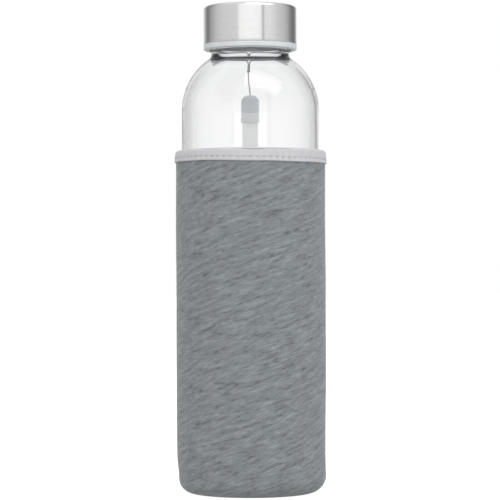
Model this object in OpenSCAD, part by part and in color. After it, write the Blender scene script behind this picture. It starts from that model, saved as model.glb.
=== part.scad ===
// Half-litre glass water bottle with a steel screw cap, a padded textile sleeve and a cord strap.
// Millimetres, +Z up, origin at the centre of the sleeve's underside, strap at the back (+Y).

/* [Glass bottle] */
// Outside diameter of the glass body
glass_d = 63.5; // [62.5:0.1:63.8]
// Thickness of the glass wall
glass_wall = 1.5; // [1.4:0.1:2.4]
// Thickness of the glass base
glass_base = 5; // [4:0.5:7]
// Height where the shoulder dome starts, above the surface that the sleeve stands on
shoulder_z = 176.6; // [174:0.2:177]
// Radius of the shoulder dome
shoulder_r = 28.8; // [28.2:0.2:30.2]
// Outside diameter of the neck just below the cap
neck_d = 36; // [35.5:0.5:36.5]
// Diameter of the mouth
mouth_d = 30; // [28:0.5:30]
// Height of the lip
lip_z = 221.2; // [220:0.2:222]

/* [Screw cap] */
// Outside diameter of the steel shell
cap_d = 43.2; // [42.6:0.1:44.5]
// Height of the steel shell
cap_h = 18; // [18:0.5:19]
// Height of the liner's ring that shows under the shell
ring_h = 2.5; // [2:0.1:2.5]
// Rise of the cap in one turn
pitch = 4.2; // [3.8:0.1:4.4]
// Turns of thread moulded on the neck
thread_turns = 1.75; // [1:0.25:1.75]

/* [Sleeve] */
// Outside diameter of the sleeve
sleeve_d = 68.8; // [68.8:0.1:70]
// Height of the sleeve with its binding
sleeve_h = 158; // [150:1:160]
// Radius of the sleeve's rounded lower corner
sleeve_corner = 8; // [7:0.5:9]
// Thickness of the outer knit
jersey_t = 0.6; // [0.4:0.1:0.7]
// Thickness of the foam core
foam_t = 1.4; // [1.2:0.1:1.4]
// Thickness of the inner knit
lining_t = 0.35; // [0.3:0.05:0.35]
// Height of the binding tape on the outside
binding_h = 6; // [5:0.5:8]
// Thickness of the binding tape
binding_t = 0.7; // [0.5:0.1:0.9]

/* [Strap] */
// Diameter of the cord round the neck
cord_d = 0.6; // [0.5:0.1:0.8]
// Width of the ribbon
ribbon_w = 7.8; // [6:0.2:8]
// Thickness of the ribbon
ribbon_t = 0.5; // [0.3:0.1:0.5]
// Width of the ferrule
ferrule_w = 9; // [8.4:0.2:9.4]
// Height of the ferrule
ferrule_h = 9.8; // [9:0.2:10]

/* [Stitches] */
// Stitches round the binding
binding_count = 72; // [48:4:84]
// Stitches in each row of the back seam
seam_count = 40; // [20:1:42]
// Stitches round the base
base_count = 48; // [36:4:60]

/* [Hidden] */
$fn = 96;

// Sleeve, from the outside in
sleeve_r = sleeve_d / 2;
base_t = jersey_t + foam_t + lining_t;
lining_r = sleeve_r - base_t;
base_r = sleeve_r - sleeve_corner;
foam_top = sleeve_h - binding_t;
binding_z = sleeve_h - binding_h;

// Glass: the body stands on the sleeve's base
glass_r = glass_d / 2;
glass_corner = 8;
inner_corner = 6;
punt_r = 61.5;
punt_depth = 1.5;
shoulder_x = glass_r - shoulder_r;
neck_r = neck_d / 2;
neck_root_r = neck_r - 0.7;
neck_root_z = 205.5;
mouth_r = mouth_d / 2;
lip_round = 1;
outer_fillet = 3.5;
inner_fillet = 5;
// The wall thickens towards the neck: the inner dome is centred this much lower
inner_drop = 0.8;

// Cap: the seal lies on the lip, the liner on the seal, the shell on the liner
seal_t = 1.8;
liner_top_t = 1.4;
shell_t = 0.5;
shell_round = 1.6;
shell_r = cap_d / 2;
liner_r = shell_r - shell_t;
liner_bore_r = neck_r + 0.85;
liner_top = lip_z + seal_t + liner_top_t;
cap_top = liner_top + 0.6;
shell_z = cap_top - cap_h;
ring_z = shell_z - ring_h;
ring_r = shell_r;
ring_round = 0.7;

// Thread: trapezoid ridges, the liner's half a pitch below the neck's
ridge_depth = 1.1;
thread_z = 209;
liner_thread_z = thread_z - pitch / 2;
liner_turns = 1.5;
ring_step = 12;

// Seam up the back: the strip that its stitches pull in, and the heights of the first and last stitch
seam_w = 5;
seam_depth = 0.3;
seam_first = sleeve_corner + 4;
seam_last = binding_z - 4;

// Ribbon and the channel that it presses into the sleeve
ribbon_y = glass_r + 0.1;
channel_w = ribbon_w + 1;
channel_y = ribbon_y + ribbon_t + 0.35;
tail_z = 135;
channel_z = tail_z - 1;

// Ferrule and collar
ferrule_t = 3;
ferrule_y = glass_r + 0.35;
collar_h = 4.6;
collar_z = 173.4;
ferrule_z = collar_z + collar_h;

// Cord: half of the loop from the back of the neck to the front, as angle, radius and height
cord_r = cord_d / 2;
hang_r = neck_r + cord_r + 0.1;
hang_z = ring_z - cord_r - 0.1;
// The loop is turned so that its knot lies a little to one side
knot_turn = 2;
knot_out = 22.4;
loop = concat([[0.9, 22, 199.9], [0.9, 20.6, 201.4], [1.2, 19.5, 202.8], [3, 18.7, 203.75]],
              [for (a = [7, 14, 28, 52, 78, 104, 130, 155, 180]) [a, hang_r, hang_z]]);
// Cord: the drop from the knot over the shoulder to the ferrule
drop = [[-0.9, 22.8, 198.9], [-0.9, 24.6, 197], [-0.7, 27.7, 193.8], [-0.4, 30.8, 190.8],
        [-0.1, 32.8, 188.7], [0, ferrule_y + ferrule_t / 2, 187.4], [0, ferrule_y + ferrule_t / 2, 186.2]];
cord_sides = 8;
loop_steps = 4;

// ---------- shared shapes ----------

// Space between a neck and a dome, rounded by a circle that touches both
module neck_blend(r, dome_z, dome_r, round) {
    cx = r + round;
    cz = dome_z + sqrt(pow(dome_r + round, 2) - pow(cx - shoulder_x, 2));
    t = dome_r / (dome_r + round);
    touch = [shoulder_x + (cx - shoulder_x) * t, dome_z + (cz - dome_z) * t];
    difference() {
        polygon([[r - 1, touch[1] - 2], [touch[0], touch[1]], [cx, cz], [r - 1, cz]]);
        translate([cx, cz]) circle(round);
    }
}

// Half outline of a domed vessel from height z0, its side at radius r, its dome centred at height dome_z
module vessel_outline(r, z0, corner, dome_z, dome_r) {
    translate([0, z0 + corner]) square([r, dome_z - z0 - corner]);
    translate([0, z0]) square([r - corner, corner]);
    translate([r - corner, z0 + corner]) circle(corner);
    intersection() {
        translate([shoulder_x, dome_z]) circle(dome_r);
        translate([0, dome_z - 1]) square([r, dome_r + 1]);
    }
}

// Half outline of the neck's finish above the shoulder, with a rounded lip
module neck_outline() {
    polygon([[0, shoulder_z + 20], [neck_r, shoulder_z + 20], [neck_r, neck_root_z - 1],
             [neck_root_r, neck_root_z], [neck_root_r, lip_z - lip_round], [0, lip_z - lip_round]]);
    square_w = neck_root_r - lip_round;
    translate([0, lip_z - 2 * lip_round]) square([square_w, 2 * lip_round]);
    translate([square_w, lip_z - lip_round]) circle(lip_round);
}

// Helical ridge from radius r by depth (inwards if negative), widths at its foot and crest
module ridge(r, depth, foot, crest, z, turns) {
    steps = ceil(turns * 360 / ring_step);
    fade = [for (i = [0 : steps]) min(1, 0.15 + min(i, steps - i) / 3)];
    section = [for (i = [0 : steps]) [
        [r - sign(depth) * 0.3, -foot / 2], [r + depth * fade[i], -crest / 2],
        [r + depth * fade[i], crest / 2], [r - sign(depth) * 0.3, foot / 2]]];
    points = [for (i = [0 : steps]) let (a = i * turns * 360 / steps) for (p = section[i])
        [p[0] * cos(a), p[0] * sin(a), z + p[1] + pitch * a / 360]];
    tube(points, 4, steps + 1, depth < 0);
}

// Closed tube through rings of points, each ring with the same number of sides
module tube(points, sides, rings, flip = false) {
    walls = [for (i = [0 : rings - 2]) for (j = [0 : sides - 1])
        let (k = (j + 1) % sides, a = i * sides, b = a + sides)
        each [[a + j, b + k, b + j], [a + j, a + k, b + k]]];
    start = [[for (j = [sides - 1 : -1 : 0]) j]];
    end = [[for (j = [0 : sides - 1]) (rings - 1) * sides + j]];
    faces = concat(start, walls, end);
    polyhedron(points, flip ? [for (f = faces) [for (i = [len(f) - 1 : -1 : 0]) f[i]]] : faces);
}

// Points of a round cord of radius r along a path
function unit(v) = v / norm(v);
function tangent(path, i) = unit(path[min(i + 1, len(path) - 1)] - path[max(i - 1, 0)]);
function cord_points(path, r) = [for (i = [0 : len(path) - 1])
    let (t = tangent(path, i), u = unit(cross(t, abs(t[2]) > 0.9 ? [1, 0, 0] : [0, 0, 1])), v = cross(t, u))
    for (j = [0 : cord_sides - 1])
        path[i] + r * (cos(j * 360 / cord_sides) * u - sin(j * 360 / cord_sides) * v)];

module cord(path) tube(cord_points(path, cord_r), cord_sides, len(path));

// Smooth path through control points: Catmull-Rom, n steps a span
function spline(p, i, t) = let (a = p[max(i - 1, 0)], b = p[i], c = p[i + 1], d = p[min(i + 2, len(p) - 1)])
    0.5 * (2 * b + (c - a) * t + (2 * a - 5 * b + 4 * c - d) * t * t + (3 * b - 3 * c + d - a) * t * t * t);
function smooth(p, n) = concat(
    [for (i = [0 : len(p) - 2]) for (k = [0 : n - 1]) spline(p, i, k / n)], [p[len(p) - 1]]);

// Half outline of the sleeve's wall and lower corner, shrunk by inset
module sleeve_outline(inset, top) {
    translate([base_r, sleeve_corner]) square([sleeve_corner - inset, top - sleeve_corner]);
    intersection() {
        translate([base_r, sleeve_corner]) circle(sleeve_corner - inset);
        translate([base_r, 0]) square([sleeve_corner, sleeve_corner]);
    }
}

// One layer of the wall between two insets
module sleeve_layer(outer, inner, top) {
    rotate_extrude() difference() {
        sleeve_outline(outer, top);
        sleeve_outline(inner, top + 1);
    }
}

// Channel at the back that the ribbon's tail presses into the sleeve, grown by t
module channel(t, z0, z1) {
    translate([-channel_w / 2 - t, lining_r - 4, z0])
        cube([channel_w + 2 * t, channel_y + t - lining_r + 4, z1 - z0]);
}

// A stitch: a short straight thread along X
module stitch(length, r) {
    translate([-length / 2, 0, 0]) rotate([0, 90, 0]) cylinder(h = length, r = r, $fn = 16);
}

// ---------- bottle ----------

module glass_bottle() color([0.92, 0.95, 0.96, 0.4]) {
    difference() {
        union() {
            rotate_extrude() difference() {
                union() {
                    vessel_outline(glass_r, base_t, glass_corner, shoulder_z, shoulder_r);
                    neck_blend(neck_r, shoulder_z, shoulder_r, outer_fillet);
                    neck_outline();
                }
                translate([0, base_t + punt_depth - punt_r]) intersection() {
                    circle(punt_r);
                    translate([0, -punt_r]) square([punt_r, 2 * punt_r]);
                }
            }
            ridge(neck_root_r, ridge_depth, 2, 1, thread_z, thread_turns);
        }
        rotate_extrude() {
            inner_z = shoulder_z - inner_drop;
            inner_r = shoulder_r - glass_wall;
            vessel_outline(glass_r - glass_wall, base_t + glass_base, inner_corner, inner_z, inner_r);
            neck_blend(mouth_r, inner_z, inner_r, inner_fillet);
            translate([0, shoulder_z]) square([mouth_r, lip_z - shoulder_z + 1]);
            difference() {
                translate([0, lip_z - lip_round]) square([mouth_r + lip_round, 2 * lip_round]);
                translate([mouth_r + lip_round, lip_z - lip_round]) circle(lip_round);
            }
        }
    }
}

// ---------- screw cap ----------

module cap_shell() color([0.78, 0.78, 0.77]) {
    rotate_extrude() difference() {
        union() {
            translate([0, shell_z]) square([shell_r, cap_h - shell_round]);
            translate([0, shell_z]) square([shell_r - shell_round, cap_h]);
            translate([shell_r - shell_round, cap_top - shell_round]) circle(shell_round);
        }
        liner_body(shell_z - 1);
    }
}

// Half outline of the liner inside the shell, from height z up
module liner_body(z) {
    corner = shell_round - shell_t;
    translate([0, z]) square([liner_r, liner_top - z - corner]);
    translate([0, z]) square([liner_r - corner, liner_top - z]);
    translate([liner_r - corner, liner_top - corner]) circle(corner);
}

module cap_liner() color([0.84, 0.86, 0.87]) {
    difference() {
        rotate_extrude() {
            liner_body(shell_z - 0.5);
            translate([0, ring_z + ring_round]) square([ring_r, ring_h - ring_round]);
            translate([0, ring_z]) square([ring_r - ring_round, ring_h]);
            translate([ring_r - ring_round, ring_z + ring_round]) circle(ring_round);
        }
        translate([0, 0, ring_z - 1]) cylinder(h = liner_top - liner_top_t - ring_z + 1, r = liner_bore_r);
    }
    ridge(liner_bore_r, -ridge_depth, 1.7, 0.8, liner_thread_z, liner_turns);
}

module cap_seal() color([0.93, 0.93, 0.9]) {
    translate([0, 0, lip_z]) cylinder(h = seal_t, r = liner_bore_r - 0.3);
}

// ---------- strap ----------

function loop_point(p, side) = [side * p[1] * sin(p[0]), p[1] * cos(p[0]), p[2]];

module neck_cord() color([0.3, 0.31, 0.33]) {
    left = [for (i = [0 : len(loop) - 1]) loop_point(loop[i], -1)];
    right = [for (i = [len(loop) - 2 : -1 : 0]) loop_point(loop[i], 1)];
    rotate([0, 0, knot_turn]) cord(smooth(concat(left, right), loop_steps));
    cord(smooth(drop, loop_steps));
}

module cord_knot() color([0.3, 0.31, 0.33]) rotate([0, 0, knot_turn]) translate([0, knot_out, 199.4]) sphere(1);

module strap_ferrule() color([0.6, 0.62, 0.63]) {
    round = 3.4;
    difference() {
        translate([0, ferrule_y + ferrule_t, ferrule_z]) rotate([90, 0, 0]) linear_extrude(ferrule_t) {
            translate([-ferrule_w / 2, 0]) square([ferrule_w, ferrule_h - round]);
            translate([round - ferrule_w / 2, 0]) square([ferrule_w - 2 * round, ferrule_h]);
            for (side = [-1, 1])
                translate([side * (ferrule_w / 2 - round), ferrule_h - round]) circle(round);
        }
        translate([0, ferrule_y + ferrule_t / 2, 186]) cylinder(h = ferrule_h, r = cord_r + 0.1);
    }
}

module strap_collar() color([0.82, 0.84, 0.84]) {
    foot = ferrule_w / 2 + 0.2;
    difference() {
        translate([0, ferrule_y + ferrule_t, collar_z]) rotate([90, 0, 0]) linear_extrude(ferrule_t)
            polygon([[-foot, 0], [foot, 0], [foot, 1.2], [ferrule_w / 2, collar_h],
                     [-ferrule_w / 2, collar_h], [-foot, 1.2]]);
        strap_ribbon();
    }
}

module strap_ribbon() color([0.93, 0.93, 0.92]) {
    top = [ferrule_y + ferrule_t / 2 - ribbon_t / 2, collar_z + 2];
    line = [top, [top[0], 170], [ribbon_y + 0.35, 164], [ribbon_y, sleeve_h], [ribbon_y, tail_z]];
    back = [for (i = [len(line) - 1 : -1 : 0]) line[i] + [ribbon_t, 0]];
    translate([-ribbon_w / 2, 0, 0]) rotate([90, 0, 90]) linear_extrude(ribbon_w) polygon(concat(line, back));
}

// ---------- sleeve ----------

module sleeve_jersey() color([0.5, 0.52, 0.53]) {
    difference() {
        sleeve_layer(0, jersey_t, foam_top);
        difference() {
            translate([-seam_w / 2, base_r, seam_first - 2])
                cube([seam_w, sleeve_corner + 2, seam_last - seam_first + 4]);
            cylinder(h = sleeve_h, r = sleeve_r - seam_depth);
        }
    }
}

module sleeve_foam() color([0.2, 0.2, 0.21]) {
    difference() {
        sleeve_layer(jersey_t, jersey_t + foam_t, foam_top);
        channel(lining_t, channel_z - lining_t, foam_top + 1);
    }
}

module sleeve_lining() color([0.25, 0.25, 0.26]) {
    difference() {
        union() {
            sleeve_layer(jersey_t + foam_t, base_t, binding_z);
            difference() {
                channel(lining_t, channel_z - lining_t, binding_z);
                translate([0, 0, channel_z - 2]) cylinder(h = sleeve_h, r = lining_r);
            }
        }
        channel(0, channel_z, sleeve_h);
    }
}

module base_panel() color([0.46, 0.48, 0.49]) {
    difference() {
        cylinder(h = base_t, r = base_r);
        rotate_extrude() translate([base_r - 1.5, -0.1]) square([1, 0.6]);
    }
}

module top_binding() color([0.82, 0.81, 0.83]) {
    outer_r = sleeve_r + binding_t;
    round = 1;
    difference() {
        rotate_extrude() difference() {
            union() {
                translate([lining_r, binding_z]) square([outer_r - lining_r, binding_h - round]);
                translate([lining_r + round, binding_z]) square([outer_r - lining_r - 2 * round, binding_h]);
                for (x = [lining_r + round, outer_r - round]) translate([x, sleeve_h - round]) circle(round);
            }
            translate([lining_r + lining_t, binding_z - 1])
                square([sleeve_r - lining_r - lining_t, foam_top - binding_z + 1]);
        }
        channel(0, binding_z - 1, sleeve_h + 1);
    }
    difference() {
        channel(lining_t, binding_z, foam_top);
        channel(0, binding_z - 1, sleeve_h);
        translate([0, 0, binding_z - 1]) cylinder(h = binding_h + 2, r = lining_r);
    }
}

module binding_stitches() color([0.7, 0.69, 0.72]) {
    for (i = [0 : binding_count - 1])
        rotate([0, 0, i * 360 / binding_count])
            translate([0, sleeve_r + binding_t + 0.26, binding_z + 1.8]) stitch(2, 0.25);
}

module back_seam_stitches() color([0.4, 0.41, 0.42]) {
    step = (seam_last - seam_first) / (seam_count - 1);
    for (side = [-1, 1]) for (i = [0 : seam_count - 1])
        rotate([0, 0, side * 2.6]) translate([0, sleeve_r - seam_depth + 0.21, seam_first + i * step])
            rotate([0, 90, 0]) stitch(2.2, 0.2);
}

module base_seam_stitches() color([0.4, 0.41, 0.42]) {
    for (i = [0 : base_count - 1])
        rotate([0, 0, i * 360 / base_count]) translate([0, base_r - 1, 0.26]) stitch(2, 0.22);
}

glass_bottle();
cap_shell();
cap_liner();
cap_seal();
neck_cord();
cord_knot();
strap_ferrule();
strap_collar();
strap_ribbon();
sleeve_jersey();
sleeve_foam();
sleeve_lining();
base_panel();
top_binding();
binding_stitches();
back_seam_stitches();
base_seam_stitches();
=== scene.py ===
# A half-litre glass water bottle with a steel screw cap, a knit-covered foam sleeve and a hanging strap.
# Metres, in the CAD's frame: +Z up, the floor at z = 0, the strap and the sleeve's seam at the back on +Y.
import math

import bmesh
import bpy
import numpy as np
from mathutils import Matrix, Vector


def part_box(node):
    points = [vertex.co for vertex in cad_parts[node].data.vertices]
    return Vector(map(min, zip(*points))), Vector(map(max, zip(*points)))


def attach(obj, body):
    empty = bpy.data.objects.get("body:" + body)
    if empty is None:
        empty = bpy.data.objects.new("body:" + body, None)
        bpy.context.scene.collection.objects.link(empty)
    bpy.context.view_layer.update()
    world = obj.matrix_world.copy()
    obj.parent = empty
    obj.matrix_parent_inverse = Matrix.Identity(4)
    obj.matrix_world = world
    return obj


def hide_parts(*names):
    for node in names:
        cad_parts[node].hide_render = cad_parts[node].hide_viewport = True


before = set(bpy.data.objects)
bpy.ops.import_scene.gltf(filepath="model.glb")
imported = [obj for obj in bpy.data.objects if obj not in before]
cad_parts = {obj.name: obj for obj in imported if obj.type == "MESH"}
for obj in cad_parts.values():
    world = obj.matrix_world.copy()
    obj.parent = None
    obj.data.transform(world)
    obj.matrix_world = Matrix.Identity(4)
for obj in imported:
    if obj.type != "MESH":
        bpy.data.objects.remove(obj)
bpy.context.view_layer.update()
mm = 0.001


# ------------------------------------------------------------
# The camera stands a metre in front of the bottle, a little under half its height, and tilts up slightly.
# ------------------------------------------------------------
camera_distance = 1.042
camera_height = 0.1028
camera_tilt = 0.51
camera_roll = 0.2
camera_left = 0.42 * mm

camera_data = bpy.data.cameras.new("camera")
camera_data.sensor_width = 36
camera_data.lens = 162
camera = bpy.data.objects.new("camera", camera_data)
camera.location = (-camera_left, -camera_distance, camera_height)
camera.rotation_euler = (math.radians(90 + camera_tilt), math.radians(camera_roll), 0)
bpy.context.collection.objects.link(camera)
bpy.context.scene.camera = camera
bpy.context.scene.view_settings.view_transform = "Standard"


# ------------------------------------------------------------
# The studio: a bright panel in front, paler ones to the sides, dark gaps beside the white backdrop.
# The panels are a strip of brightness round the horizon, so the steel mirrors them as upright bands.
# ------------------------------------------------------------
def node(tree, kind, inputs=None, **settings):
    """Adds a shader node. Each input is a value, or the output socket of another node to link."""
    made = tree.nodes.new("ShaderNode" + kind)
    for key, value in settings.items():
        setattr(made, key, value)
    for key, value in (inputs or {}).items():
        if isinstance(value, bpy.types.NodeSocket):
            tree.links.new(value, made.inputs[key])
        else:
            made.inputs[key].default_value = value
    return made


def ramp(tree, factor, stops, interpolation="LINEAR"):
    """A colour ramp through (position, colour) stops; a colour may be one grey number."""
    made = node(tree, "ValToRGB", {"Fac": factor})
    made.color_ramp.interpolation = interpolation
    elements = made.color_ramp.elements
    while len(elements) < len(stops):
        elements.new(0.5)
    for element, (position, colour) in zip(elements, stops):
        grey = not hasattr(colour, "__len__")
        element.position = position
        element.color = (colour, colour, colour, 1) if grey else (*colour, 1)
    return made.outputs["Color"]


studio_gain = 1.74
# Angle round the horizon from the camera's side, positive to the right, and brightness over studio_gain
panels = [(-180, 0.55), (-164, 0.53), (-156, 0.46), (-148, 0.38), (-141, 0.24), (-132, 0.14), (-125, 0.14),
          (-117, 0.24), (-104, 0.34), (-88, 0.46), (-70, 0.53), (-36, 0.57), (-30, 0.60), (-27, 0.83),
          (-8, 0.87), (12, 0.86), (27, 0.80), (29, 0.68), (31, 0.26), (33, 0.32), (36, 0.64), (58, 0.62),
          (74, 0.50), (90, 0.44), (104, 0.34), (115, 0.22), (124, 0.13), (142, 0.13), (150, 0.24),
          (157, 0.42), (163, 0.53), (180, 0.55)]
world = bpy.data.worlds.new("studio")
bpy.context.scene.world = world
world.use_nodes = True
sky = world.node_tree
sky.nodes.clear()
direction = node(sky, "SeparateXYZ", {0: node(sky, "TexCoord").outputs["Generated"]})
backwards = node(sky, "Math", {0: direction.outputs["Y"], 1: -1.0}, operation="MULTIPLY")
heading = node(sky, "Math", {0: direction.outputs["X"], 1: backwards.outputs[0]}, operation="ARCTAN2")
turn = node(sky, "MapRange", {0: heading.outputs[0], 1: -math.pi, 2: math.pi, 3: 0.0, 4: 1.0})
strip = ramp(sky, turn.outputs[0], [((a + 180) / 360, value) for a, value in panels])
height = node(sky, "MapRange", {0: direction.outputs["Z"], 1: 0.45, 2: 0.9, 3: 0.0, 4: 1.0})
ceiling = (0.62, 0.62, 0.62, 1)
room = node(sky, "Mix", {"Factor": height.outputs[0], "A": strip, "B": ceiling}, data_type="RGBA")
panels_light = node(sky, "Background", {"Color": room.outputs["Result"], "Strength": studio_gain})
paper = node(sky, "Background", {"Color": (1, 1, 1, 1), "Strength": 1.0})
seen = node(sky, "LightPath").outputs["Is Camera Ray"]
mixed = node(sky, "MixShader", {0: seen, 1: panels_light.outputs[0], 2: paper.outputs[0]})
node(sky, "OutputWorld", {"Surface": mixed.outputs[0]})

lamp_data = bpy.data.lights.new("overhead_softbox", "AREA")
lamp_data.shape = "RECTANGLE"
lamp_data.size = 0.9
lamp_data.size_y = 0.5
lamp_data.energy = 2.2
lamp = bpy.data.objects.new("overhead_softbox", lamp_data)
lamp.location = (0.3, -0.45, 0.85)
lamp.rotation_euler = (math.radians(35), math.radians(18), 0)
lamp.visible_camera = False
bpy.context.collection.objects.link(lamp)


def on_object(tree):
    """The object's own coordinates, in metres."""
    return node(tree, "TexCoord").outputs["Object"]


def noise(tree, scale, detail, place=None, **more):
    """A noise pattern between 0 and 1, on the object's coordinates unless a place is given."""
    values = {"Vector": place or on_object(tree), "Scale": scale, "Detail": detail, **more}
    return node(tree, "TexNoise", values).outputs[0]


def bump(tree, height, strength, distance):
    """A normal raised by a height pattern."""
    return node(tree, "Bump", {"Height": height, "Strength": strength, "Distance": distance}).outputs[0]


# ------------------------------------------------------------
# The floor is white paper, lit so brightly that its far edge melts into the backdrop.
# ------------------------------------------------------------
def material(name, values):
    """A new Principled material with these values on its shader's own sockets."""
    made = bpy.data.materials.new(name)
    made.use_nodes = True
    for socket, value in values.items():
        made.node_tree.nodes["Principled BSDF"].inputs[socket].default_value = value
    return made


def link_to_shader(made, **sockets):
    """Links output sockets to the material's Principled shader: base_color= goes to Base Color."""
    shader = made.node_tree.nodes["Principled BSDF"]
    for key, socket in sockets.items():
        made.node_tree.links.new(socket, shader.inputs[key.replace("_", " ").title()])


floor_half = 8.0
floor_mesh = bpy.data.meshes.new("floor")
corners = [(x * floor_half, y * floor_half, 0) for x, y in ((-1, -1), (1, -1), (1, 1), (-1, 1))]
floor_mesh.from_pydata(corners, [], [(0, 1, 2, 3)])
floor = bpy.data.objects.new("floor", floor_mesh)
bpy.context.collection.objects.link(floor)
paper_floor = material("white_paper", {
    "Base Color": (0.3, 0.3, 0.3, 1), "Roughness": 0.9, "Specular IOR Level": 0.1,
    "Emission Color": (1, 1, 1, 1)})
paper_tree = paper_floor.node_tree
straight = node(paper_tree, "LightPath").outputs["Is Camera Ray"]
paper_glow = node(paper_tree, "MapRange", {0: straight, 1: 0.0, 2: 1.0, 3: 0.36, 4: 0.93})
link_to_shader(paper_floor, emission_strength=paper_glow.outputs[0])
floor_mesh.materials.append(paper_floor)


# ------------------------------------------------------------
# The bottle is blown soda-lime glass: a straight body, a domed shoulder drawn in to a short neck, a moulded
# screw thread and a fire-polished lip. The base is thicker, with a shallow punt under it.
# ------------------------------------------------------------
def smooth_object(name, mesh, merge=False):
    """An object from a mesh, shaded smooth with its faces turned outwards; merge joins repeated points."""
    draft = bmesh.new()
    draft.from_mesh(mesh)
    if merge:
        bmesh.ops.remove_doubles(draft, verts=draft.verts, dist=1e-7)
    bmesh.ops.recalc_face_normals(draft, faces=draft.faces)
    draft.to_mesh(mesh)
    draft.free()
    mesh.shade_smooth()
    made = bpy.data.objects.new(name, mesh)
    bpy.context.collection.objects.link(made)
    return made


def surface(name, grid, closed_rows=False):
    """A mesh through a grid of points, rows by columns. The columns close into a ring; the rows do too if
    closed_rows, and otherwise a first or last row of one repeated point is a pole. The UV map holds the
    distance along each row's ring and down the rows, in metres."""
    rows, columns = grid.shape[:2]
    row_steps = rows if closed_rows else rows - 1
    i, j = (index.ravel() for index in np.meshgrid(np.arange(row_steps), np.arange(columns), indexing="ij"))
    corners_i = np.stack([i, i, i + 1, i + 1], axis=1)
    corners_j = np.stack([j, j + 1, j + 1, j], axis=1)
    faces = (corners_i % rows) * columns + corners_j % columns
    mesh = bpy.data.meshes.new(name)
    mesh.from_pydata(grid.reshape(-1, 3).tolist(), [], faces.tolist())

    closed = np.concatenate([grid, grid[:1]]) if closed_rows else grid
    down = np.concatenate([[0], np.cumsum(np.linalg.norm(np.diff(closed, axis=0), axis=2).mean(axis=1))])
    round_length = np.linalg.norm(np.roll(grid, -1, axis=1) - grid, axis=2).sum(axis=1).max()
    uv = np.stack([corners_j * (round_length / columns), down[corners_i]], axis=-1)
    mesh.uv_layers.new(name="surface").data.foreach_set("uv", uv.ravel().astype(np.float32))

    return smooth_object(name, mesh, merge=True)


def turned(name, profile, around, push=None, lift=None, closed_rows=False):
    """A profile of (radius, height) points turned about Z, starting at the back. push(angle, radius, height)
    gives what is added to the radius, and lift what is added to the height."""
    angle = math.pi / 2 + 2 * math.pi * np.arange(around) / around
    radius = np.repeat(profile[:, :1], around, axis=1)
    height = np.repeat(profile[:, 1:], around, axis=1)
    if lift:
        height = height + lift(angle[None, :], radius, height)
    if push:
        radius = radius + push(angle[None, :], radius, height)
    grid = np.stack([radius * np.cos(angle), radius * np.sin(angle), height], axis=-1)
    return surface(name, grid, closed_rows)


def arc(centre, radius, start, end, count):
    """Points on a circle, from angle start to angle end in degrees: centre + radius (cos, sin)."""
    a = np.radians(np.linspace(start, end, count))
    return np.stack([centre[0] + radius * np.cos(a), centre[1] + radius * np.sin(a)], axis=1)


def line(start, end, count):
    """Evenly spaced points from start to end, without the end."""
    return np.linspace(start, end, count, endpoint=False)


def smoothstep(x):
    """Rises from 0 to 1 between x = 0 and x = 1 with a level start and end."""
    x = np.clip(x, 0, 1)
    return x * x * (3 - 2 * x)


def helix(angle, height, start, pitch, turns, foot, crest):
    """Height of a screw ridge, from 0 to 1, at an angle and height: the nearest turn's centre line is at
    start + pitch angle / 2 pi, the flanks slope from foot to crest, and both ends fade out."""
    nearest = np.round((height - start) / pitch - angle / (2 * math.pi))
    along = angle / (2 * math.pi) + nearest
    away = np.abs(height - start - pitch * along)
    ends = smoothstep(along / 0.08) * smoothstep((turns - along) / 0.08)
    return smoothstep((foot - away) / (foot - crest)) * ends


def fit(piece, body, slot, made, *cad_nodes):
    """Puts a material on a piece, fixes it to a body and hides the CAD nodes that it stands in for."""
    piece.data.materials.append(made)
    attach(piece, body)
    if cad_nodes:
        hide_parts(*cad_nodes)


glass_low, glass_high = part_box("glass_bottle")
glass_radius = glass_high.x
glass_foot = glass_low.z
lip_top = glass_high.z
shoulder_height = 176.6 * mm
shoulder_radius = 28.8 * mm
shoulder_centre = (glass_radius - shoulder_radius, shoulder_height)
wall = 1.5 * mm
# The inner dome is centred lower than the outer one, so the wall thickens towards the neck
inner_drop = 0.8 * mm
inner_centre = (shoulder_centre[0], shoulder_centre[1] - inner_drop)
base_thickness = 5 * mm
neck_radius = 18 * mm
thread_root = 17.3 * mm
mouth_radius = 15 * mm
lip_round = 1 * mm
heel_round = 8 * mm
inner_heel = 6 * mm
punt_radius = 13 * mm
punt_depth = 1.5 * mm
inner_crown = 0.8 * mm
neck_step = (204.5 * mm, 205.5 * mm)
thread_pitch = 4.2 * mm
thread_start = 209 * mm
thread_height = 1.1 * mm


def neck_fillet(radius, dome_centre, dome, rounding, count):
    """The circle that touches a neck and a dome: its arc from the dome to the neck, and where on the dome,
    as an angle, it starts. Its centre is the rounding away from both."""
    centre_r = radius + rounding
    centre_z = dome_centre[1] + math.sqrt((dome + rounding) ** 2 - (centre_r - dome_centre[0]) ** 2)
    start = math.degrees(math.atan2(centre_z - dome_centre[1], centre_r - dome_centre[0]))
    return arc((centre_r, centre_z), rounding, 180 + start, 180, count), start


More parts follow.
